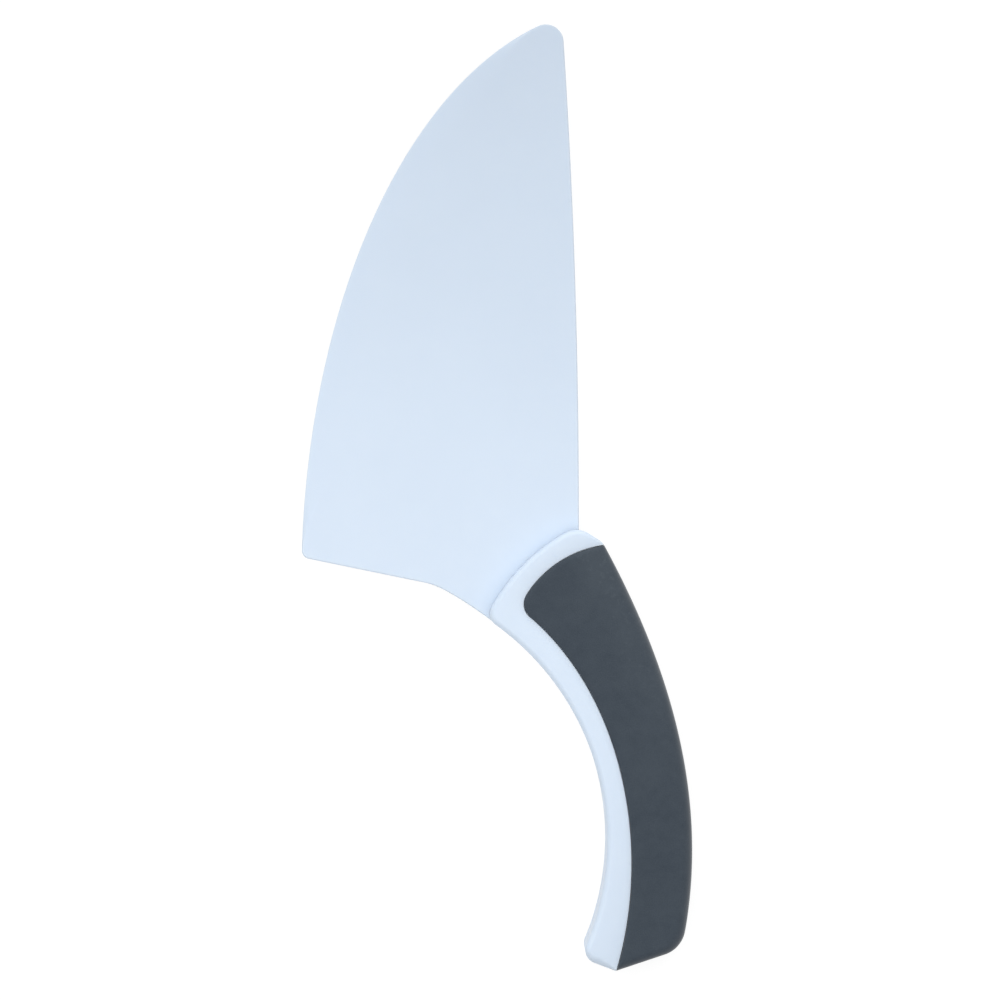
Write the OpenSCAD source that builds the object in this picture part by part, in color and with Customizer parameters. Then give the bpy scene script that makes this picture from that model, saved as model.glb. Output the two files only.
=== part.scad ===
// Cake server that lies flat on its back. A thin moulded blade runs into a handle that is arched in the
// blade's own plane. The handle is a hard core in two halves, closed over the blade's tang, with a soft
// grip over its outer side. X points away from the arch, Y towards the blade's tip and Z up.
// The origin is on the grip's back, under the palm.

/* [Blade] */
// Width of the blade from its spine to the widest point of its curved edge
blade_w = 77.5; // [70:0.1:85]
// Height of the blade from its heel to the point that the tip is rounded from
blade_h = 151.4; // [125:0.5:175]
// Thickness of the blade and its tang
blade_t = 2.4; // [1.8:0.1:3.2]
// Thickness left at the blade's edges
edge_t = 1.2; // [0.6:0.1:1.6]
// Width of the bevel along the curved edge
bevel_w = 8; // [4:0.5:14]
// Width of the narrow bevel along the spine and the heel
rim_w = 0.8; // [0.4:0.1:1.6]
// How far the middle of the curved edge's ellipse lies past the spine
belly_past = 11; // [8:0.1:16]
// How far the heel lies above the widest point of the curved edge
heel_rise = 7.5; // [4:0.5:10]
// How far the heel lies above the top of the handle's arch
heel_over = 4.6; // [4:0.1:7]
// Slope of the heel edge, in degrees
heel_slope = 11.6; // [9:0.1:13]
// How far the spine leans back at the tip
spine_fall = 4.5; // [1:0.1:8]
// How far the spine's line bulges out between its ends
spine_bow = 0.6; // [0:0.1:1.5]
// How far the spine lies past the collar's top corner
spine_past = 0.2; // [-1:0.1:1]
// Radius of the tip
tip_r = 5.3; // [3:0.1:8]
// Radius of the heel corner
heel_r = 2.4; // [1:0.1:5]
// How far before the handle's inner edge the heel edge starts to turn down
neck_run = 21; // [17:0.5:25]
// Degrees past the collar's inner corner where the neck joins the arch
neck_lean = 4; // [3:0.1:5]

/* [Handle] */
// Thickness of the handle
handle_t = 15; // [13:0.5:18]
// Radius that rounds the handle's edges
edge_r = 3.5; // [2:0.1:3.6]
// Radius of the arch along the handle's inner edge
arch_r = 74.3; // [68:0.1:80]
// Distance from the inner edge to the origin under the palm
palm_in = 15.4; // [13:0.1:17]
// Angle from the palm up to the collar's inner corner
collar_angle = 56.8; // [54:0.1:60]
// Width of the handle at the collar's top corner
collar_w = 35.6; // [34:0.1:38]
// Degrees that the collar leans back over its width
collar_lean = 3.9; // [3:0.1:5]
// Bulge of the collar's front edge
collar_bow = 3.1; // [1.5:0.1:4]
// Radius of the collar's top corner
collar_r = 6.5; // [4.5:0.1:8]
// Width of the handle at the shoulder, where the outer edge starts
shoulder_w = 36.5; // [36:0.1:39]
// Degrees from the collar's inner corner down to the shoulder
shoulder_lean = 8.1; // [7.5:0.1:9.5]
// Width of the handle at the point that bends the outer edge
bulge_w = 34.8; // [32:0.1:37]
// Angle from the palm up to the point that bends the outer edge
bulge_angle = 12; // [10:0.1:16]
// Angle from the palm down to the end's inner corner
end_angle = 25.7; // [24:0.1:30]
// Width of the handle at the end's outer corner
end_w = 25.5; // [24:0.1:28]
// Degrees that the end's outer corner lies before the inner one
end_lean = 8.3; // [7:0.1:10]
// Distance from the inner edge to the peak of the end
peak_w = 10.5; // [9:0.1:13]
// Degrees that the peak lies before the end's inner corner
peak_lean = 0.6; // [0:0.1:2]
// Radius of the end's outer corner
end_r = 8.3; // [6:0.1:12]
// Extra plan radius of the small corners over what the rounded edges or the grip take off them
corner_over = 0.4; // [0.2:0.1:1]

/* [Grip] */
// Thickness of the soft grip
grip_t = 2.5; // [1.8:0.1:3]
// Width of the fine groove between the grip and the core
seam_gap = 0.2; // [0.1:0.05:0.4]
// How far along the outer edge the grip starts below the shoulder
band_end = 0.8; // [0.5:0.1:3]
// Bulge of the grip's upper edge
top_bow = 3.8; // [2.5:0.1:4.5]
// Width of the core's strip at the point that the grip's nose is rounded from
nose_w = 7.6; // [7:0.1:10]
// Degrees from the collar's inner corner down to that point
nose_lean = 4.3; // [4:0.1:6]
// Radius of the grip's nose
nose_r = 4.9; // [3:0.1:7]
// Width of the core's strip at its waist, where it is narrowest
waist_w = 6.1; // [5:0.1:7.5]
// Angle from the palm up to the waist
waist_angle = 13; // [8:0.5:22]

/* [Tang] */
// Width of the tang
tang_w = 12; // [10:0.5:13]
// Distance from the handle's inner edge to the tang
tang_in = 6; // [5:0.1:7]
// Diameter of the pins that hold the tang
pin_d = 5; // [4:0.1:6]
// Angle from the palm up to the first pin
pin_first = 36; // [34:0.5:38]
// Degrees from one pin to the next
pin_pitch = 22; // [16:0.5:22]
// Thickness left under the pin sockets
pin_floor = 1; // [0.8:0.1:1.6]
// Clearance round the tang and the pins
fit_gap = 0.1; // [0.05:0.01:0.2]

/* [Hidden] */

// Pins along the tang
pin_count = 3;
// How far the neck reaches up into the blade's plate, past its bevel
neck_lap = 3;
// Degrees that the neck runs on along the arch inside the handle
neck_turn = 6;

// Longest step along a curve, and the steps round a corner and an edge
spacing = 3;
corner_steps = 6;
edge_steps = 5;
$fn = 64;

// Height of the blade's middle, where the halves of the core meet
mid_z = handle_t / 2;
small_r = max(edge_r, grip_t) + corner_over;
tang_r = arch_r + tang_in + tang_w / 2;
// Distance from the arch's centre that is past all of the handle
reach = 2 * arch_r;

white = [0.84, 0.91, 0.97];
slate = [0.27, 0.30, 0.34];

// Plane geometry, with the arch's centre as its origin
function polar(r, a) = r * [cos(a), sin(a)];
function unit(v) = v / norm(v);
function left_of(v) = [-v.y, v.x];
function turned(v, a) = [v.x * cos(a) - v.y * sin(a), v.x * sin(a) + v.y * cos(a)];
function steps(length) = max(1, ceil(length / spacing));

// Circle of radius r round the origin, from one angle to another
function arc(r, from, to) =
    let (n = steps(r * abs(to - from) * PI / 180))
    [for (i = [0:n]) polar(r, from + (to - from) * i / n)];

// Arc from a to b that bulges by bow to the right of the straight line
function bow_arc(a, b, bow) =
    let (
        half = norm(b - a) / 2,
        r = (half ^ 2 + bow ^ 2) / (2 * bow),
        centre = (a + b) / 2 + (r - bow) * left_of(unit(b - a)),
        sweep = 2 * asin(half / r),
        n = steps(2 * half)
    )
    [for (i = [0:n]) centre + turned(a - centre, sweep * i / n)];

// Parabola from a to b that leaves and arrives along the lines through c
function pull_curve(a, c, b) =
    let (n = steps(norm(c - a) + norm(b - c)))
    [for (i = [0:n]) let (u = i / n) (1 - u) ^ 2 * a + 2 * u * (1 - u) * c + u ^ 2 * b];

// Where the line through a along u meets the line through b along v
function meet(a, u, b, v) = a + u * ((b - a) * left_of(v)) / (u * left_of(v));

// The edge's points that lie further than t from v, with half a step to spare
function beyond(edge, v, t) = [for (p = edge) if (norm(p - v) > t + spacing / 2) p];

// End of a list of points, or the other point if the list is empty
function first_of(points, other) = len(points) == 0 ? other : points[0];
function last_of(points, other) = len(points) == 0 ? other : points[len(points) - 1];

// Length that a corner of radius r takes off the two edges that meet in v
function trim(before, v, after, r) =
    let (c = unit(before - v) * unit(after - v))
    r * sqrt(max(0, 1 + c) / (1 - c));

// Circular corner that starts and ends at distance t from v
function corner(before, v, after, t) =
    t == 0 ? [v] : let (
        p = unit(before - v),
        q = unit(after - v),
        w = sqrt((1 - p * q) / 2)
    )
    [for (i = [0:corner_steps])
        let (
            u = i / corner_steps,
            m = 2 * u * (1 - u) * w,
            total = (1 - u) ^ 2 + m + u ^ 2
        )
        v + t * ((1 - u) ^ 2 * p + u ^ 2 * q) / total];

// Closed outline of edges that each end where the next one starts, with radius radii[i] where edge i starts
function rounded(edges, radii) =
    let (
        n = len(edges),
        ends = [for (e = edges) e[len(e) - 2]],
        trims = [for (i = [0:n - 1])
            trim(ends[(i + n - 1) % n], edges[i][0], edges[i][1], radii[i])]
    )
    [for (i = [0:n - 1])
        let (
            j = (i + 1) % n,
            u = edges[i][0],
            v = edges[j][0],
            w = edges[(i + 2) % n][0],
            here = beyond(edges[i], v, trims[j]),
            next = beyond(edges[j], v, trims[j])
        )
        each concat(
            beyond(here, u, trims[i]),
            corner(last_of(here, u), v, first_of(next, w), trims[j])
        )];

// The outline moved inwards by d
function inset(outline, d) =
    let (n = len(outline))
    [for (i = [0:n - 1])
        outline[i] + d * left_of(unit(outline[(i + 1) % n] - outline[(i + n - 1) % n]))];

// Handle in plan, from the collar's inner corner down the arch and back up the outer edge
collar_in = polar(arch_r, collar_angle);
collar_top = polar(arch_r + collar_w, collar_angle - collar_lean);
shoulder = polar(arch_r + shoulder_w, collar_angle - shoulder_lean);
bulge = polar(arch_r + bulge_w, bulge_angle);
end_out = polar(arch_r + end_w, end_lean - end_angle);
end_in = polar(arch_r, -end_angle);
peak_angle = peak_lean - end_angle;
end_peak = polar(arch_r + peak_w, peak_angle);
handle_outline = rounded([
    arc(arch_r, collar_angle, -end_angle),
    [end_in, end_peak],
    [end_peak, end_out],
    pull_curve(end_out, bulge, shoulder),
    [shoulder, collar_top],
    bow_arc(collar_top, collar_in, collar_bow)
], [small_r, small_r, small_r, end_r, small_r, collar_r]);

// Grip in plan: its edge on the core, closed well outside the handle
nose_angle = collar_angle - nose_lean;

// Width of the core's strip at angle a: it swells smoothly to the nose and flares out to the end's peak
function strip_w(a) = a > waist_angle
    ? waist_w + (nose_w - waist_w) * (1 - cos(180 * (a - waist_angle) / (nose_angle - waist_angle))) / 2
    : waist_w + (peak_w - waist_w) * ((waist_angle - a) / (waist_angle - peak_angle)) ^ 2;

strip_steps = steps(arch_r * (nose_angle - peak_angle) * PI / 180);
strip_edge = [for (i = [0:strip_steps])
    let (a = nose_angle + (peak_angle - nose_angle) * i / strip_steps)
    polar(arch_r + strip_w(a), a)];
grip_start = shoulder + band_end * unit(bulge - shoulder);
top_edge = bow_arc(grip_start, strip_edge[0], top_bow);
far_low = [end_peak.x, -reach];
far_out = [reach, -reach];
far_high = grip_start + reach * unit(grip_start - top_edge[1]);
grip_outline = rounded([
    top_edge,
    strip_edge,
    [end_peak, far_low],
    [far_low, far_out],
    [far_out, far_high],
    [far_high, grip_start]
], [0, nose_r, 0, 0, 0, 0]);

// Blade in plan. Its curved edge is part of an ellipse, its spine a shallow parabola.
spine_x = collar_top.x + spine_past;
heel_y = arch_r + heel_over;
belly_c = [spine_x + belly_past, heel_y - heel_rise];
belly_rx = blade_w + belly_past;
tip_x = spine_x - spine_fall;
belly_ry = (blade_h + heel_rise) / sqrt(1 - ((tip_x - belly_c.x) / belly_rx) ^ 2);

// Plate of the blade with its curved edge moved in by belly_in and its other edges by rim_in
function plate_outline(belly_in, rim_in) =
    let (
        rx = belly_rx - belly_in,
        ry = belly_ry - belly_in,
        from = acos((tip_x - rim_in - belly_c.x) / rx),
        to = 180 - asin((heel_rise + rim_in) / ry),
        n = steps(blade_h),
        belly = [for (i = [0:n]) let (a = from + (to - from) * i / n) belly_c + [rx * cos(a), ry * sin(a)]],
        tip = belly[0],
        heel = belly[n],
        foot_x = spine_x - rim_in,
        foot = [foot_x, heel.y - (foot_x - heel.x) * tan(heel_slope)]
    )
    rounded([
        belly,
        [heel, foot],
        pull_curve(foot, [foot_x + 2 * spine_bow, (foot.y + tip.y) / 2], tip)
    ], [tip_r, heel_r, heel_r]);

// Neck below the heel edge: it bends into the arch and ends inside the handle
heel_dir = polar(1, -heel_slope);
heel_x = belly_c.x - belly_rx * sqrt(1 - (heel_rise / belly_ry) ^ 2);
function heel_point(x) = [x, heel_y - (x - heel_x) * tan(heel_slope)];
neck_angle = collar_angle - neck_lean;
neck_end = polar(arch_r, neck_angle);
neck_start = heel_point(neck_end.x - neck_run);
neck_bend = meet(neck_start, heel_dir, neck_end, left_of(neck_end));
lap_up = [0, rim_w + neck_lap];
neck_outline = concat(
    pull_curve(neck_start, neck_bend, neck_end),
    arc(arch_r, neck_angle, neck_angle - neck_turn),
    [heel_point(spine_x), heel_point(spine_x) + lap_up, neck_start + lap_up]
);

// Length of a chain of points from its start to point i, and each point's share of the whole length
function run_to(p, i) = i == 0 ? 0 : run_to(p, i - 1) + norm(p[i] - p[i - 1]);
function shares(p) = [for (i = [0:len(p) - 1]) run_to(p, i)] / run_to(p, len(p) - 1);

// Triangles, counterclockwise from above, that fill an outline whose two sides run from its start to the
// point nearest to peak
function filled(outline, peak) =
    let (
        n = len(outline),
        far = [for (p = outline) norm(p - peak)],
        turn = search(min(far), far)[0],
        a = [for (i = [0:turn]) i],
        b = [for (i = [n - 1:-1:turn]) i],
        sa = shares([for (i = a) outline[i]]),
        sb = shares([for (i = b) outline[i]])
    )
    concat(
        [for (i = [1:len(a) - 1]) [a[i - 1], a[i], b[len([for (s = sb) if (s < sa[i]) s]) - 1]]],
        [for (i = [1:len(b) - 2]) [b[i], b[i - 1], a[len([for (s = sa) if (s <= sb[i]) s]) - 1]]]
    );

// Slab of height h over the outline, with its upper and lower edges rounded by r
module rounded_slab(outline, peak, h, r) {
    n = len(outline);
    rings = [
        for (i = [0:edge_steps]) let (a = 90 - 90 * i / edge_steps) [r - r * cos(a), r - r * sin(a)],
        for (i = [0:edge_steps]) let (a = 90 * i / edge_steps) [r - r * cos(a), h - r + r * sin(a)]
    ];
    top = (len(rings) - 1) * n;
    cap = filled(outline, peak);
    polyhedron(
        points = [for (k = rings) for (p = inset(outline, k[0])) [p.x, p.y, k[1]]],
        faces = [
            for (t = cap) t,
            for (t = cap) [t[2] + top, t[1] + top, t[0] + top],
            for (k = [0:len(rings) - 2]) for (i = [0:n - 1])
                let (p = k * n + i, q = k * n + (i + 1) % n) each [[p, p + n, q + n], [p, q + n, q]]
        ]
    );
}

// Puts the arch's centre where the origin lies under the palm
module at_arch() {
    translate([-arch_r - palm_in, 0, 0])
        children();
}

module between(z0, z1) {
    translate([0, 0, z0])
        linear_extrude(z1 - z0)
            children();
}

module handle_solid() {
    rounded_slab(handle_outline, end_peak, handle_t, edge_r);
}

// Space of the grip: everything on the outer side of its edge, less the core that it wraps
module grip_space(gap) {
    difference() {
        between(-grip_t, handle_t + grip_t)
            polygon(inset(grip_outline, gap));
        between(grip_t, handle_t - grip_t)
            polygon(inset(handle_outline, grip_t));
    }
}

module at_pins() {
    for (i = [0:pin_count - 1])
        rotate(pin_first - i * pin_pitch)
            translate([tang_r, 0, 0])
                children();
}

// Tang along the arch with a round end at the last pin, grown by gap on all sides
module tang(gap) {
    z = mid_z - blade_t / 2 - gap;
    t = blade_t + 2 * gap;
    last = pin_first - (pin_count - 1) * pin_pitch;
    translate([0, 0, z]) {
        rotate(last)
            rotate_extrude(angle = neck_angle - last)
                translate([tang_r - tang_w / 2 - gap, 0])
                    square([tang_w + 2 * gap, t]);
        rotate(last)
            translate([tang_r, 0, 0])
                cylinder(d = tang_w + 2 * gap, h = t);
    }
}

// Room for the blade's root and tang between the handle's halves
module blade_space() {
    between(mid_z - blade_t / 2 - fit_gap, mid_z + blade_t / 2 + fit_gap) {
        polygon(inset(plate_outline(0, 0), -fit_gap));
        polygon(inset(neck_outline, -fit_gap));
    }
    tang(fit_gap);
}

// The handle's core without what lies between z0 and z1
module core_half(z0, z1) {
    difference() {
        handle_solid();
        grip_space(0);
        blade_space();
        between(z0, z1)
            square(2 * reach, center = true);
    }
}

module blade() {
    color(white)
        at_arch()
            difference() {
                union() {
                    hull() {
                        between(mid_z - edge_t / 2, mid_z + edge_t / 2)
                            polygon(plate_outline(0, 0));
                        between(mid_z - blade_t / 2, mid_z + blade_t / 2)
                            polygon(plate_outline(bevel_w, rim_w));
                    }
                    between(mid_z - blade_t / 2, mid_z + blade_t / 2)
                        polygon(neck_outline);
                    tang(0);
                }
                at_pins()
                    cylinder(d = pin_d + 2 * fit_gap, h = handle_t);
            }
}

// Upper half of the core, with the pins that go through the tang
module handle_front() {
    pin_z = grip_t + pin_floor + fit_gap;
    color(white)
        at_arch() {
            core_half(-handle_t, mid_z);
            at_pins()
                translate([0, 0, pin_z])
                    cylinder(d = pin_d, h = handle_t - grip_t - pin_floor - pin_z);
        }
}

// Lower half of the core, with the sockets that the pins end in
module handle_back() {
    color(white)
        at_arch()
            difference() {
                core_half(mid_z, 2 * handle_t);
                at_pins()
                    translate([0, 0, grip_t + pin_floor])
                        cylinder(d = pin_d + 2 * fit_gap, h = handle_t);
            }
}

module soft_grip() {
    color(slate)
        at_arch()
            intersection() {
                handle_solid();
                grip_space(seam_gap);
            }
}

blade();
handle_front();
handle_back();
soft_grip();
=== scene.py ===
import cmath
import math

import bpy
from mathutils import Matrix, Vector


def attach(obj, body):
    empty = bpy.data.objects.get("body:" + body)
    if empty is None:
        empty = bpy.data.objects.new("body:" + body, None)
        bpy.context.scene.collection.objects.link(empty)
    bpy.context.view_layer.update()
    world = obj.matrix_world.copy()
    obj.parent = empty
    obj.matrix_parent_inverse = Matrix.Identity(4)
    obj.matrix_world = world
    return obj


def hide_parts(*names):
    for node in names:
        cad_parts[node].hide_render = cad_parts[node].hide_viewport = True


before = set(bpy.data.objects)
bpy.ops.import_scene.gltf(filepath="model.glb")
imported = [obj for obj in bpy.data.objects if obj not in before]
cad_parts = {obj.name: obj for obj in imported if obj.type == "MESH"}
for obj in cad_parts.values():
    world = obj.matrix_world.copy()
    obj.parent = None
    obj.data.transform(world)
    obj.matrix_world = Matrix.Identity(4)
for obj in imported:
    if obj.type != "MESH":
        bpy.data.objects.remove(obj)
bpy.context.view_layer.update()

# Cake server that lies flat on its back. Lengths are in millimetres and angles in degrees.
# X points away from the handle's arch, Y towards the blade's tip and Z up.

# Blade. Its curved edge, the belly, is part of an ellipse, and its spine is nearly straight.
BLADE_W = 77.5  # from the spine to the widest point of the belly
BLADE_H = 151.4  # from the heel to the point that the tip is rounded from
BLADE_T = 2.4  # thickness of the blade and its tang
EDGE_T = 1.2  # thickness left at the edges
EDGE_IN = 0.15  # how far the rounding of that edge reaches in
BEVEL_W = 8  # width of the bevel along the belly
BEVEL_FADE = 28  # length in which the bevel fades out at the tip and at the heel
RIM_W = 0.4  # width of the bevel along the other edges
BELLY_PAST = 11  # how far the middle of the belly's ellipse lies past the spine
HEEL_RISE = 7.5  # how far the heel lies above the widest point of the belly
HEEL_OVER = 4.6  # how far the heel lies above the top of the handle's arch
HEEL_SLOPE = 11.6  # slope of the heel edge
SPINE_FALL = 4.5  # how far the spine leans back at the tip
SPINE_BOW = 0.6  # bulge of the spine
SPINE_PAST = 0.2  # how far the spine lies past the collar's top corner
TIP_R = 5.3  # radius of the tip
HEEL_R = 2.4  # radius of the heel corner
ROOT_R = 2  # radius of the blade's corners inside the handle
NECK_RUN = 21  # how far before the handle's inner edge the heel edge starts to turn down
NECK_LEAN = 4  # angle from the collar's inner corner down to where the neck joins the arch
NECK_TURN = 6  # angle that the neck runs on along the arch, inside the handle

# Handle. Widths run outwards from its arch, and angles turn up from the palm.
HANDLE_T = 15  # thickness
EDGE_R = 3.5  # radius of the edges on the grip
CORE_EDGE_R = 1.6  # radius of the edges on the core
EDGE_BLEND = 8  # points of the outline, on each side, in which one radius turns into the other
ARCH_R = 74.3  # radius of the arch along the inner edge
PALM_IN = 15.4  # from the inner edge to the origin under the palm
COLLAR_ANGLE = 56.8  # up to the collar's inner corner
COLLAR_W = 35.6  # width at the collar's top corner
COLLAR_LEAN = 3.9  # angle that the collar leans back over its width
COLLAR_BOW = 3.1  # bulge of the collar's front edge
COLLAR_R = 6.5  # radius of the collar's top corner
SHOULDER_W = 36.5  # width at the shoulder, where the outer edge starts
SHOULDER_LEAN = 8.1  # angle from the collar's inner corner down to the shoulder
BULGE_W = 34.8  # width at the point that bends the outer edge
BULGE_ANGLE = 12  # up to that point
END_ANGLE = 25.7  # down to the end's inner corner
END_W = 25.5  # width at the end's outer corner
END_LEAN = 8.3  # angle from the end's inner corner up to the outer one
PEAK_W = 10.5  # width at the peak of the end
PEAK_LEAN = 0.6  # angle from the end's inner corner up to the peak
END_R = 8.3  # radius of the end's outer corner
CORNER_OVER = 0.4  # how much larger the small corners' radius is than that of the edges
PARTING = 0.12  # chamfer where the two halves of the core meet

# Grip, with the strip of the core that shows beside it
GRIP_T = 2.5  # thickness of the grip
SEAM_GAP = 0.2  # groove between the grip and the core
BAND_END = 0.8  # how far along the outer edge the grip starts below the shoulder
TOP_BOW = 3.8  # bulge of the grip's upper edge
NOSE_W = 7.6  # width of the strip at the point that the grip's nose is rounded from
NOSE_LEAN = 4.3  # angle from the collar's inner corner down to that point
NOSE_R = 4.9  # radius of the nose
WAIST_W = 6.1  # width of the strip at its waist, where it is narrowest
WAIST_ANGLE = 13  # up to the waist
GRIP_CROWN = (1.8, 0.5)  # how wide and how deep the grip's faces drop towards the seam
CORE_CROWN = (7.5, 0.8)  # the same on the core
CROWN_POWER = 3  # how late the faces drop

# Tang and pins inside the handle
TANG_W = 12  # width of the tang
TANG_IN = 6  # from the handle's inner edge to the tang
PIN_D = 5  # diameter of a pin
PIN_FIRST = 36  # angle from the palm up to the first pin
PIN_PITCH = 22  # angle from one pin to the next
PIN_COUNT = 3
PIN_FLOOR = 1  # thickness left under the pin sockets
FIT_GAP = 0.1  # clearance round the tang and the pins

# Fineness of the meshes
SPACING = 1  # longest step along a curve
CORNER_STEPS = 12  # round a corner of an outline
EDGE_STEPS = 10  # round an edge, and across a bevel
CROWN_STEPS = 8  # down a crown
ROUND_STEPS = 48  # round a full circle
SHARP_ANGLE = 32  # where faces meet at more than this, the edge looks sharp
ON_CURVE = 1e-6  # error below which a point lies on the belly's ellipse

# Plastic. Colours are linear, and a noise is the size of its features with its detail.
PLASTIC_DARK = (0.653, 0.751, 0.874)
PLASTIC_LIGHT = (0.668, 0.766, 0.889)
PLASTIC_ROUGHNESS = (0.40, 0.48)
PLASTIC_GLOW = 0.3  # share of the light that goes in under the surface
PLASTIC_GLOW_DEPTH = 1.5  # how deep it goes
FLOW_NOISE = (30, 3)
GLOSS_NOISE = (4, 4)
SKIN_NOISE = (0.5, 2)
SKIN_BUMP = 0.06

# Rubber, with shares of its pale colour that give random paler clouds and a painted highlight at the
# shoulder
RUBBER_DARK = (0.0245, 0.037, 0.053)
RUBBER_LIGHT = (0.0425, 0.057, 0.075)
# pale colour mixed in for the random clouds and for the painted highlight at the shoulder
RUBBER_PALE_AND_HIGHLIGHT = (0.085, 0.105, 0.125)
RUBBER_ROUGHNESS = (0.60, 0.72)
RUBBER_SPECULAR = 0.2
RUBBER_SHEEN = 0.4
MOTTLE_NOISE = (3, 5)
GRAIN_NOISE = (0.35, 2)
GRAIN_BUMP = 0.25
CLOUD_NOISE = (12, 3)
CLOUD_WEAR = 0.14  # wear in the palest clouds
SCUFF_NOISE = (1.2, 1)
SCUFF_RANGE = (0.55, 0.75)  # stretch of that noise in which a scuff appears
SCUFF_AND_HIGHLIGHT = (0.19, 0.4)  # painted highlight beside a scuff and in one, along the outer edge at the shoulder
HIGHLIGHT_W = 11.5  # from the outer edge to the inner limit of the painted highlight
HIGHLIGHT_LOW = 15  # from the palm to the lower limit of the painted highlight

# Both materials
NOISE_RANGE = (0.3, 0.7)  # stretch that holds most of a noise
BUMP_DEPTH = 0.1  # height of a bump at full strength

# Floor and light, with powers and strengths in Blender's own units
WHITE = (1, 1, 1)
FLOOR_COLOUR = (0.9, 0.9, 0.9)
FLOOR_HALF = 4000  # half of the floor's side
FLOOR_DROP = 0.1  # gap under the handle
FLOOR_GLOW = 1.14
FLOOR_GLOW_SHARE = 0.75  # the rest of the floor's look is lit, and holds the shadow
FILL_LIGHT = 0.536
SOFTBOX_POWER = 0.477
SOFTBOX_SIZE = (500, 200)
SOFTBOX_AT = (-90, 50, 300)
WINDOW_POWER = 1.32
WINDOW_FROM = (0, 1000, 300)  # only its direction counts
WINDOW_ANGLE = 60  # how wide the window looks from the object

# Camera straight above the object
PIXEL = 0.28  # width of a pixel at the height of the blade's middle
PICTURE = 1000  # pixels on a side
SENSOR = 36
CAMERA_UP = 720  # from the blade's middle up to the camera
VIEW_CENTRE = (-45.07, 94.97)

MM = 0.001  # a millimetre in metres
QUARTER = math.pi / 2  # a quarter turn

# Values that follow from the ones above
MID_Z = HANDLE_T / 2  # height of the blade's middle, where the halves of the core meet
SMALL_R = EDGE_R + CORNER_OVER
REACH = 2 * ARCH_R  # distance from the arch's centre that is past all of the handle
TANG_R = ARCH_R + TANG_IN + TANG_W / 2


# Plane geometry on complex numbers, with the arch's centre as the origin

def polar(r, angle):
    return cmath.rect(r, math.radians(angle))


def unit(v):
    return v / abs(v)


def dot(a, b):
    return (a * b.conjugate()).real


def shares(n):
    """The numbers from 0 to 1 in n even steps."""
    return [i / n for i in range(n + 1)]


def ease(u):
    """Smooth step from 0 to 1 that starts and ends level."""
    return u**2 * (3 - 2 * u)


def steps(length):
    """How many steps a curve of this length takes."""
    return max(1, math.ceil(length / SPACING))


def arc(r, start, end):
    """Circle round the origin from one angle to another."""
    n = steps(r * math.radians(abs(end - start)))
    return [polar(r, start + (end - start) * u) for u in shares(n)]


def bow_arc(a, b, bow):
    """Arc from a to b that bulges by bow to the right of the straight line."""
    half = abs(b - a) / 2
    r = (half**2 + bow**2) / (2 * bow)
    centre = (a + b) / 2 + (r - bow) * 1j * unit(b - a)
    sweep = 2 * math.degrees(math.asin(half / r))
    return [centre + (a - centre) * polar(1, sweep * u) for u in shares(steps(2 * half))]


def pull_curve(a, c, b):
    """Parabola from a to b that leaves and arrives along the lines through c."""
    n = steps(abs(c - a) + abs(b - c))
    return [(1 - u) ** 2 * a + 2 * u * (1 - u) * c + u**2 * b for u in shares(n)]


def meet(a, u, b, v):
    """Where the line through a along u meets the line through b along v."""
    return a + u * dot(b - a, 1j * v) / dot(u, 1j * v)


def circle_through(a, b, c):
    """Centre and radius of the circle through three points."""
    centre = meet((a + b) / 2, 1j * (b - a), (b + c) / 2, 1j * (c - b))
    return centre, abs(a - centre)


def beyond(edge, v, t):
    """The edge's points that lie further than t from v, with half a step to spare."""
    return [p for p in edge if abs(p - v) > t + SPACING / 2]


def trim(before, v, after, r):
    """Length that a corner of radius r takes off the two edges that meet in v."""
    c = dot(unit(before - v), unit(after - v))
    return r * math.sqrt(max(0, 1 + c) / (1 - c))


def corner(before, v, after, t):
    """Circular corner that starts and ends at distance t from v."""
    if t == 0:
        return [v]
    p, q = unit(before - v), unit(after - v)
    w = math.sqrt((1 - dot(p, q)) / 2)
    points = []
    for u in shares(CORNER_STEPS):
        total = (1 - u) ** 2 + 2 * u * (1 - u) * w + u**2
        points.append(v + t * ((1 - u) ** 2 * p + u**2 * q) / total)
    return points


def rounded(edges, radii):
    """Closed outline of edges that each end where the next starts, with a radius at each start."""
    n = len(edges)
    trims = [trim(edges[i - 1][-2], edges[i][0], edges[i][1], radii[i]) for i in range(n)]
    outline = []
    for i in range(n):
        j = (i + 1) % n
        v = edges[j][0]
        here = beyond(edges[i], v, trims[j])
        after = beyond(edges[j], v, trims[j])
        outline += beyond(here, edges[i][0], trims[i])
        outline += corner(here[-1], v, after[0], trims[j])
    return outline


def inset(outline, depths):
    """The outline moved inwards by one depth, or by each point's own."""
    n = len(outline)
    if not isinstance(depths, list):
        depths = [depths] * n
    sides = [1j * unit(outline[(i + 1) % n] - outline[i - 1]) for i in range(n)]
    return [p + d * side for p, d, side in zip(outline, depths, sides)]


# Handle and grip in plan

collar_in = polar(ARCH_R, COLLAR_ANGLE)
collar_top = polar(ARCH_R + COLLAR_W, COLLAR_ANGLE - COLLAR_LEAN)
shoulder = polar(ARCH_R + SHOULDER_W, COLLAR_ANGLE - SHOULDER_LEAN)
bulge = polar(ARCH_R + BULGE_W, BULGE_ANGLE)
end_out = polar(ARCH_R + END_W, END_LEAN - END_ANGLE)
end_in = polar(ARCH_R, -END_ANGLE)
peak_angle = PEAK_LEAN - END_ANGLE
end_peak = polar(ARCH_R + PEAK_W, peak_angle)
nose_angle = COLLAR_ANGLE - NOSE_LEAN


def outer_edge():
    """The handle's outer edge, from its end up to the shoulder."""
    return pull_curve(end_out, bulge, shoulder)


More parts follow.
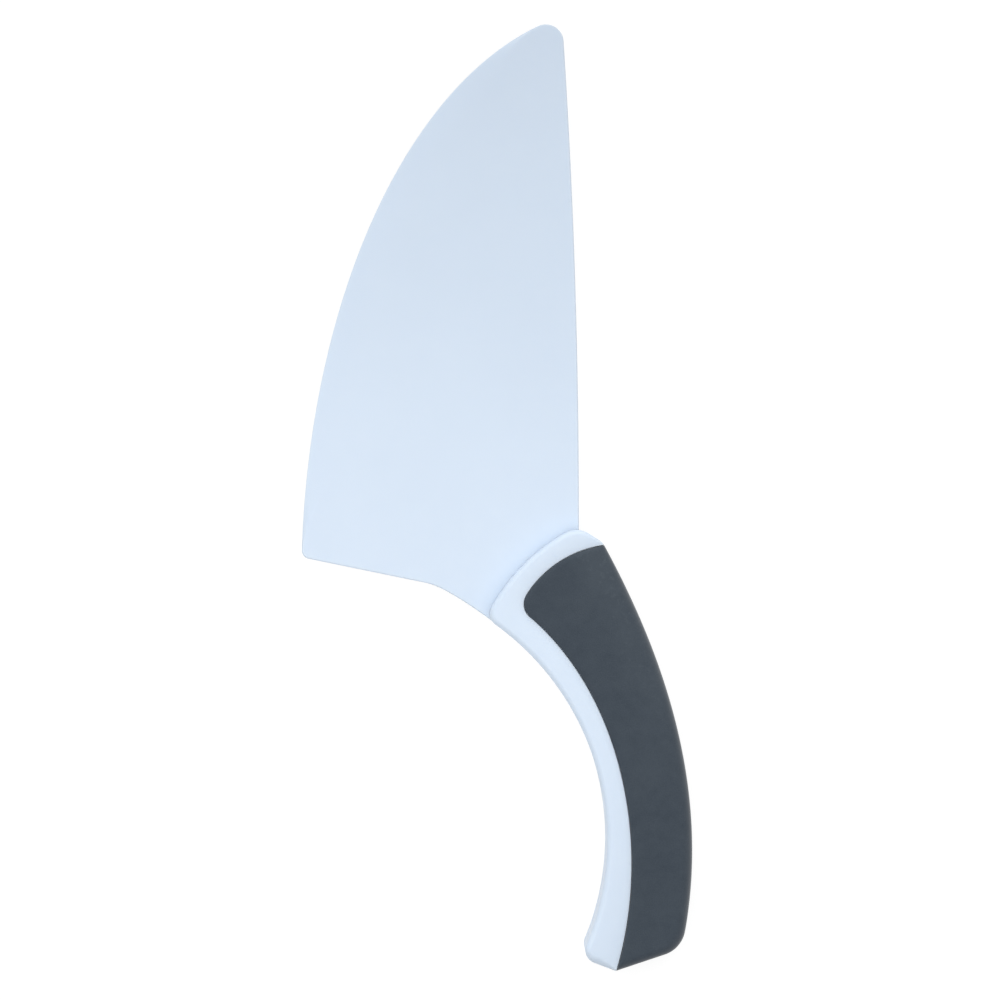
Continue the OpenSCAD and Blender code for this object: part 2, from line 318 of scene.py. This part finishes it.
def handle_plan():
    """From the collar's inner corner down the arch, round the end's sharp peak and up the outer edge."""
    edges = [
        arc(ARCH_R, COLLAR_ANGLE, -END_ANGLE),
        [end_in, end_peak],
        [end_peak, end_out],
        outer_edge(),
        [shoulder, collar_top],
        bow_arc(collar_top, collar_in, COLLAR_BOW),
    ]
    return rounded(edges, [SMALL_R, SMALL_R, 0, END_R, SMALL_R, COLLAR_R])


def strip_w(angle):
    """Width of the core's strip, which swells smoothly to the nose and flares out to the end's peak."""
    if angle > WAIST_ANGLE:
        turn = math.pi * (angle - WAIST_ANGLE) / (nose_angle - WAIST_ANGLE)
        return WAIST_W + (NOSE_W - WAIST_W) * (1 - math.cos(turn)) / 2
    return WAIST_W + (PEAK_W - WAIST_W) * ((WAIST_ANGLE - angle) / (WAIST_ANGLE - peak_angle)) ** 2


def grip_plan():
    """The grip's edge on the core, closed well outside the handle."""
    n = steps(ARCH_R * math.radians(nose_angle - peak_angle))
    angles = [nose_angle + (peak_angle - nose_angle) * u for u in shares(n)]
    strip = [polar(ARCH_R + strip_w(a), a) for a in angles]
    start = shoulder + BAND_END * unit(bulge - shoulder)
    top = bow_arc(start, strip[0], TOP_BOW)
    far_low = complex(end_peak.real, -REACH)
    far_out = complex(REACH, -REACH)
    far_high = start + REACH * unit(start - top[1])
    edges = [top, strip, [end_peak, far_low], [far_low, far_out], [far_out, far_high], [far_high, start]]
    return rounded(edges, [0, NOSE_R, 0, 0, 0, 0])


# Blade in plan

spine_x = collar_top.real + SPINE_PAST
tip_x = spine_x - SPINE_FALL
heel_y = ARCH_R + HEEL_OVER
belly_c = complex(spine_x + BELLY_PAST, heel_y - HEEL_RISE)
belly_rx = BLADE_W + BELLY_PAST
belly_ry = (BLADE_H + HEEL_RISE) / math.sqrt(1 - ((tip_x - belly_c.real) / belly_rx) ** 2)
neck_angle = COLLAR_ANGLE - NECK_LEAN


def belly_edge():
    """The curved edge, from the tip to the heel."""
    start = math.acos((tip_x - belly_c.real) / belly_rx)
    end = math.pi - math.asin(HEEL_RISE / belly_ry)
    angles = [start + (end - start) * u for u in shares(steps(BLADE_H))]
    return [belly_c + complex(belly_rx * math.cos(a), belly_ry * math.sin(a)) for a in angles]


def blade_plan():
    """From the tip down the belly, along the heel, down the neck into the handle and up the spine."""
    belly = belly_edge()
    tip, heel = belly[0], belly[-1]
    heel_dir = polar(1, -HEEL_SLOPE)
    neck_end = polar(ARCH_R, neck_angle)
    neck_start = heel + heel_dir * (neck_end.real - NECK_RUN - heel.real) / heel_dir.real
    neck_bend = meet(neck_start, heel_dir, neck_end, 1j * neck_end)
    root = arc(ARCH_R, neck_angle, neck_angle - NECK_TURN)
    foot = heel + heel_dir * (spine_x - heel.real) / heel_dir.real
    spine_bend = complex(spine_x + 2 * SPINE_BOW, (foot + tip).imag / 2)
    edges = [
        belly,
        [heel, neck_start],
        pull_curve(neck_start, neck_bend, neck_end),
        root,
        [root[-1], foot],
        pull_curve(foot, spine_bend, tip),
    ]
    return rounded(edges, [TIP_R, HEEL_R, 0, 0, ROOT_R, ROOT_R])


def on_belly(p):
    """Whether a point of the blade's outline lies on the belly's ellipse."""
    q = p - belly_c
    return abs((q.real / belly_rx) ** 2 + (q.imag / belly_ry) ** 2 - 1) < ON_CURVE


def bevel_widths(outline):
    """Wide along the belly, down to the rim's width at its ends and along the other edges."""
    belly = [p for p in outline if on_belly(p)]
    widths = []
    for p in outline:
        to_end = min(abs(p - belly[0]), abs(p - belly[-1])) if on_belly(p) else 0
        widths.append(RIM_W + (BEVEL_W - RIM_W) * ease(min(1, to_end / BEVEL_FADE)))
    return widths


# Solids as stacks of rings, each ring a list of plan points with their heights

def place(p, z):
    """A plan point at this height, in metres from the origin under the palm."""
    return ((p.real - ARCH_R - PALM_IN) * MM, p.imag * MM, z * MM)


def level(outline, z):
    return [(p, z) for p in outline]


def prism(outline, low, high):
    return [level(outline, low), level(outline, high)]


def disc(centre, d):
    return [centre + polar(d / 2, 360 * i / ROUND_STEPS) for i in range(ROUND_STEPS)]


def new_object(name, data):
    thing = bpy.data.objects.new(name, data)
    bpy.context.scene.collection.objects.link(thing)
    return thing


def mesh_object(name, points, faces):
    mesh = bpy.data.meshes.new(name)
    mesh.from_pydata(points, [], faces)
    return new_object(name, mesh)


def solid(name, *stacks):
    """Closed mesh of one or more stacks of rings."""
    points, faces = [], []
    for rings in stacks:
        n = len(rings[0])
        low = len(points)
        top = low + n * (len(rings) - 1)
        points += [place(p, z) for ring in rings for p, z in ring]
        faces += [[low + i for i in reversed(range(n))], [top + i for i in range(n)]]
        for base in range(low, top, n):
            for i in range(n):
                j = (i + 1) % n
                faces.append([base + i, base + j, base + n + j, base + n + i])
    return mesh_object(name, points, faces)


def carve(piece, operation, tool):
    """Cuts, joins or keeps the common part of the piece and the tool, which is used up."""
    change = piece.modifiers.new("carve", "BOOLEAN")
    change.operation = operation
    change.solver = "EXACT"
    change.object = tool
    graph = bpy.context.evaluated_depsgraph_get()
    mesh = bpy.data.meshes.new_from_object(piece.evaluated_get(graph))
    piece.modifiers.remove(change)
    piece.data = mesh
    bpy.data.objects.remove(tool)


def edge_radii(outline):
    """Rounding of the handle's edges at each point, tighter up to the end's peak, where the core shows."""
    n = len(outline)
    plain = [CORE_EDGE_R if p.real < end_peak.real else EDGE_R for p in outline]
    near = range(-EDGE_BLEND, EDGE_BLEND + 1)
    return [sum(plain[(i + k) % n] for k in near) / len(near) for i in range(n)]


def edge_rings(outline):
    """Rings of the handle's rounded upper edge, from the side up to the face."""
    radii = edge_radii(outline)
    rings = []
    for u in shares(EDGE_STEPS):
        inwards, below = 1 - math.cos(QUARTER * u), 1 - math.sin(QUARTER * u)
        points = inset(outline, [r * inwards for r in radii])
        rings.append([(p, HANDLE_T - r * below) for p, r in zip(points, radii)])
    return rings


def upside_down(rings):
    return [[(p, HANDLE_T - z) for p, z in ring] for ring in reversed(rings)]


def handle_half(upper):
    """Rings of one half of the handle, with a fine chamfer where the halves meet."""
    outline = handle_plan()
    seam = [level(inset(outline, PARTING), MID_Z), level(outline, MID_Z + PARTING)]
    rings = seam + edge_rings(outline)
    return rings if upper else upside_down(rings)


def handle_whole():
    rings = edge_rings(handle_plan())
    return upside_down(rings) + rings


def grip_prism(gap, width, drop):
    """Everything on the grip's side of the seam, drawn in by width over a depth of drop at each face.

    This crowns the grip. A negative width widens it there instead, which cuts the core's crown.
    """
    crown = [(gap + width * (1 - u), drop * u**CROWN_POWER) for u in shares(CROWN_STEPS)]
    low = [(gap + width, -HANDLE_T)] + crown
    high = [(d, HANDLE_T - z) for d, z in reversed(low)]
    outline = grip_plan()
    return [level(inset(outline, d), z) for d, z in low + high]


def grip_bed():
    """The part of the core that the grip wraps."""
    return prism(inset(handle_plan(), GRIP_T), GRIP_T, HANDLE_T - GRIP_T)


def blade_slab(outline, gap):
    """Slab over the outline that leaves this gap above and below the blade's thickness."""
    half = BLADE_T / 2 + gap
    return prism(outline, MID_Z - half, MID_Z + half)


def tang_slab(gap):
    """The tang along the arch with a round end at the last pin, grown by gap on all sides."""
    last = PIN_FIRST - (PIN_COUNT - 1) * PIN_PITCH
    half = TANG_W / 2 + gap
    turns = [last - 180 * u for u in shares(ROUND_STEPS // 2)]
    round_end = [polar(TANG_R, last) + polar(half, a) for a in turns[1:-1]]
    outline = arc(TANG_R + half, neck_angle, last) + round_end + arc(TANG_R - half, last, neck_angle)
    return blade_slab(outline[::-1], gap)


def pin_stacks(d, low, high):
    centres = [polar(TANG_R, PIN_FIRST - i * PIN_PITCH) for i in range(PIN_COUNT)]
    return [prism(disc(centre, d), low, high) for centre in centres]


def blade_height(x, bevel):
    """Half thickness of the blade at depth x from its outline, where the bevel has this width."""
    r = EDGE_T / 2
    edge = r * math.sqrt(max(0, 1 - (1 - min(1, x / EDGE_IN)) ** 2))
    return edge + (BLADE_T / 2 - r) * math.sin(QUARTER * x / bevel)


def blade_rings():
    """From the lower face out to the rounded edge and back in to the upper face."""
    outline = blade_plan()
    bevels = bevel_widths(outline)
    on_edge = [[EDGE_IN * (1 - math.cos(QUARTER * u))] * len(outline) for u in shares(EDGE_STEPS)]
    on_bevel = [[EDGE_IN + (b - EDGE_IN) * u for b in bevels] for u in shares(EDGE_STEPS)[1:]]
    upper, lower = [], []
    for depths in on_edge + on_bevel:
        heights = [blade_height(x, b) for x, b in zip(depths, bevels)]
        points = inset(outline, depths)
        upper.append([(p, MID_Z + h) for p, h in zip(points, heights)])
        lower.append([(p, MID_Z - h) for p, h in zip(points, heights)])
    # Both lists start with the same ring, at the middle of the edge
    return lower[:0:-1] + upper


# Pieces

def make_blade():
    piece = solid("server_blade", blade_rings())
    carve(piece, "UNION", solid("tang", tang_slab(0)))
    carve(piece, "DIFFERENCE", solid("pin_holes", *pin_stacks(PIN_D + 2 * FIT_GAP, 0, HANDLE_T)))
    return piece


def make_core(name, upper):
    """One half of the core, with room for the grip and the blade.

    The upper half has the pins, and the lower half has their sockets.
    """
    piece = solid(name, handle_half(upper))
    width, drop = CORE_CROWN
    room = solid("grip_room", grip_prism(0, -width, drop))
    carve(room, "DIFFERENCE", solid("grip_bed", grip_bed()))
    carve(piece, "DIFFERENCE", room)
    slot = blade_slab(inset(blade_plan(), -FIT_GAP), FIT_GAP)
    carve(piece, "DIFFERENCE", solid("blade_slot", slot))
    carve(piece, "DIFFERENCE", solid("tang_slot", tang_slab(FIT_GAP)))
    floor = GRIP_T + PIN_FLOOR
    if upper:
        pins = pin_stacks(PIN_D, floor + FIT_GAP, HANDLE_T - floor)
        carve(piece, "UNION", solid("pins", *pins))
    else:
        sockets = pin_stacks(PIN_D + 2 * FIT_GAP, floor, HANDLE_T)
        carve(piece, "DIFFERENCE", solid("sockets", *sockets))
    return piece


def make_grip():
    piece = solid("grip_cover", handle_whole())
    carve(piece, "INTERSECT", solid("grip_side", grip_prism(SEAM_GAP, *GRIP_CROWN)))
    carve(piece, "DIFFERENCE", solid("grip_bed", grip_bed()))
    return piece


# Nodes of materials

def wire(tree, node, inputs):
    """Sets each input to a value, or links it to another node's output."""
    for key, value in inputs.items():
        if isinstance(value, bpy.types.NodeSocket):
            tree.links.new(value, node.inputs[key])
        else:
            node.inputs[key].default_value = value


def add(tree, kind, inputs, **settings):
    node = tree.nodes.new("ShaderNode" + kind)
    for key, value in settings.items():
        setattr(node, key, value)
    wire(tree, node, inputs)
    return node


def opaque(colour):
    return (*colour, 1)


def combine(tree, operation, a, b):
    return add(tree, "Math", {0: a, 1: b}, operation=operation).outputs[0]


def mean(tree, a, b):
    return combine(tree, "MULTIPLY", combine(tree, "ADD", a, b), 1 / 2)


def rescale(tree, value, start, end, low=0, high=1):
    """Maps the stretch from start to end to the one from low to high, and no further."""
    inputs = {"Value": value, "From Min": start, "From Max": end, "To Min": low, "To Max": high}
    return add(tree, "MapRange", inputs).outputs[0]


def surface_point(tree):
    return add(tree, "TexCoord", {}).outputs["Object"]


def noise(tree, size, detail):
    """Noise with features of this size in millimetres."""
    inputs = {"Vector": surface_point(tree), "Scale": 1 / (size * MM), "Detail": detail}
    return add(tree, "TexNoise", inputs).outputs[0]


def spread(tree, value, low, high):
    """Stretches a noise's middle range to low and high."""
    return rescale(tree, value, *NOISE_RANGE, low, high)


def ramp(tree, value, dark, light):
    node = add(tree, "ValToRGB", {"Fac": value})
    node.color_ramp.elements[0].color = opaque(dark)
    node.color_ramp.elements[1].color = opaque(light)
    return node.outputs["Color"]


def tint(tree, share, base, colour):
    """The base with this share of the colour."""
    # Numbers, vectors and colours have sockets of the same names, so those for colours go by number
    return add(tree, "Mix", {0: share, 6: base, 7: opaque(colour)}, data_type="RGBA").outputs[2]


def bump(tree, strength, height):
    inputs = {"Strength": strength, "Distance": BUMP_DEPTH * MM, "Height": height}
    return add(tree, "Bump", inputs).outputs["Normal"]


def blank_material(name):
    material = bpy.data.materials.new(name)
    material.use_nodes = True
    return material, material.node_tree, material.node_tree.nodes["Principled BSDF"]


# Materials

def pale_plastic():
    """Satin moulded plastic with faint cloudy flow and a very fine skin."""
    material, tree, shader = blank_material("pale_plastic")
    flow = spread(tree, noise(tree, *FLOW_NOISE), 0, 1)
    wire(tree, shader, {
        "Base Color": ramp(tree, flow, PLASTIC_DARK, PLASTIC_LIGHT),
        "Roughness": spread(tree, noise(tree, *GLOSS_NOISE), *PLASTIC_ROUGHNESS),
        "Subsurface Weight": PLASTIC_GLOW,
        "Subsurface Radius": (1, 1, 1),
        "Subsurface Scale": PLASTIC_GLOW_DEPTH * MM,
        "Normal": bump(tree, SKIN_BUMP, noise(tree, *SKIN_NOISE)),
    })
    return material


def shoulder_highlight(tree):
    """1 along the outer edge at the shoulder, where the painted highlight lies, fading inwards and down
    the handle.
    """
    outer = outer_edge()
    middle, upper, last = outer[len(outer) // 2], outer[3 * len(outer) // 4], outer[-1]
    centre, r = circle_through(middle, upper, last)
    point = surface_point(tree)
    away = add(tree, "VectorMath", {0: point, 1: place(centre, MID_Z)}, operation="DISTANCE")
    across = rescale(tree, away.outputs["Value"], (r - HIGHLIGHT_W) * MM, (r - HIGHLIGHT_W / 2) * MM)
    height = add(tree, "SeparateXYZ", {0: point}).outputs["Y"]
    along = rescale(tree, height, HIGHLIGHT_LOW * MM, shoulder.imag * MM)
    return combine(tree, "MULTIPLY", across, along)


def grip_rubber():
    """Matte rubber with a fine grain and cloudy tone, and a painted highlight with paler scuffs along the
    outer edge at the shoulder.
    """
    material, tree, shader = blank_material("grip_rubber")
    mottle = noise(tree, *MOTTLE_NOISE)
    grain = noise(tree, *GRAIN_NOISE)
    shade = spread(tree, mean(tree, mottle, grain), 0, 1)
    fresh = ramp(tree, shade, RUBBER_DARK, RUBBER_LIGHT)
    cloud = spread(tree, noise(tree, *CLOUD_NOISE), 0, CLOUD_WEAR)
    # Painted highlight along the outer edge at the shoulder, with paler scuffs in it, added to the random
    # paler clouds
    highlight_and_scuffs = rescale(tree, noise(tree, *SCUFF_NOISE), *SCUFF_RANGE, *SCUFF_AND_HIGHLIGHT)
    tone_and_highlight = combine(tree, "ADD", cloud, combine(tree, "MULTIPLY", shoulder_highlight(tree), highlight_and_scuffs))
    wire(tree, shader, {
        "Base Color": tint(tree, tone_and_highlight, fresh, RUBBER_PALE_AND_HIGHLIGHT),
        "Roughness": spread(tree, mottle, *RUBBER_ROUGHNESS),
        "Specular IOR Level": RUBBER_SPECULAR,
        "Sheen Weight": RUBBER_SHEEN,
        "Normal": bump(tree, GRAIN_BUMP, grain),
    })
    return material


def dress(piece, material, node):
    """Smooths, colours and hangs a piece in the place of its node."""
    mesh = piece.data
    mesh.shade_smooth()
    mesh.set_sharp_from_angle(angle=math.radians(SHARP_ANGLE))
    even = piece.modifiers.new("even_normals", "WEIGHTED_NORMAL")
    even.keep_sharp = True
    mesh.materials.clear()
    mesh.materials.append(material)
    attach(piece, "root")
    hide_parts(node)


# Stage

def seen_directly(tree):
    """1 for rays that show a surface as it is, to the eye, in a gloss or through something clear."""
    path = add(tree, "LightPath", {}).outputs
    eye_or_gloss = combine(tree, "MAXIMUM", path["Is Camera Ray"], path["Is Glossy Ray"])
    return combine(tree, "MAXIMUM", eye_or_gloss, path["Is Transmission Ray"])


def make_floor():
    """Pale floor that looks white and keeps the object's shadow."""
    half, drop = FLOOR_HALF * MM, FLOOR_DROP * MM
    corners = [(x * half, y * half, -drop) for x, y in ((-1, -1), (1, -1), (1, 1), (-1, 1))]
    floor = mesh_object("floor", corners, [(0, 1, 2, 3)])
    material, tree, shader = blank_material("floor")
    tree.nodes.remove(shader)
    lit = add(tree, "BsdfDiffuse", {"Color": opaque(FLOOR_COLOUR)})
    white = add(tree, "Emission", {"Color": opaque(WHITE), "Strength": FLOOR_GLOW})
    share = combine(tree, "MULTIPLY", seen_directly(tree), FLOOR_GLOW_SHARE)
    mix = add(tree, "MixShader", {0: share, 1: lit.outputs[0], 2: white.outputs[0]})
    wire(tree, tree.nodes["Material Output"], {"Surface": mix.outputs[0]})
    floor.data.materials.append(material)


def make_world():
    """Even fill light, which looks white where it is seen."""
    world = bpy.data.worlds.new("studio")
    world.use_nodes = True
    tree = world.node_tree
    tree.nodes.clear()
    fill = add(tree, "Background", {"Color": opaque(WHITE), "Strength": FILL_LIGHT})
    white = add(tree, "Background", {"Color": opaque(WHITE), "Strength": 1})
    mix = add(tree, "MixShader", {0: seen_directly(tree), 1: fill.outputs[0], 2: white.outputs[0]})
    add(tree, "OutputWorld", {"Surface": mix.outputs[0]})
    bpy.context.scene.world = world


def hang_lamp(name, kind, power, at, aim):
    lamp = bpy.data.lights.new(name, kind)
    lamp.energy = power
    holder = new_object(name, lamp)
    holder.location = Vector(at) * MM
    holder.rotation_euler = (Vector(aim) - Vector(at)).to_track_quat("-Z", "Y").to_euler()
    holder.visible_camera = False
    return lamp


def make_lamps():
    """A wide soft lamp over the handle's arch, and low soft light from beyond the blade's tip."""
    x, y, _ = SOFTBOX_AT
    softbox = hang_lamp("softbox", "AREA", SOFTBOX_POWER, SOFTBOX_AT, (x, y, 0))
    softbox.shape = "RECTANGLE"
    softbox.size, softbox.size_y = [side * MM for side in SOFTBOX_SIZE]
    window = hang_lamp("window", "SUN", WINDOW_POWER, WINDOW_FROM, (0, 0, 0))
    window.angle = math.radians(WINDOW_ANGLE)


def make_camera():
    lens = bpy.data.cameras.new("camera")
    lens.sensor_width = SENSOR
    lens.lens = SENSOR * CAMERA_UP / (PICTURE * PIXEL)
    camera = new_object("camera", lens)
    camera.location = Vector((*VIEW_CENTRE, MID_Z + CAMERA_UP)) * MM
    bpy.context.scene.camera = camera


make_camera()
make_world()
make_lamps()
make_floor()

plastic = pale_plastic()
rubber = grip_rubber()
dress(make_blade(), plastic, "blade")
dress(make_core("core_front", True), plastic, "handle_front")
dress(make_core("core_back", False), plastic, "handle_back")
dress(make_grip(), rubber, "soft_grip")

bpy.context.scene.view_settings.view_transform = "Standard"
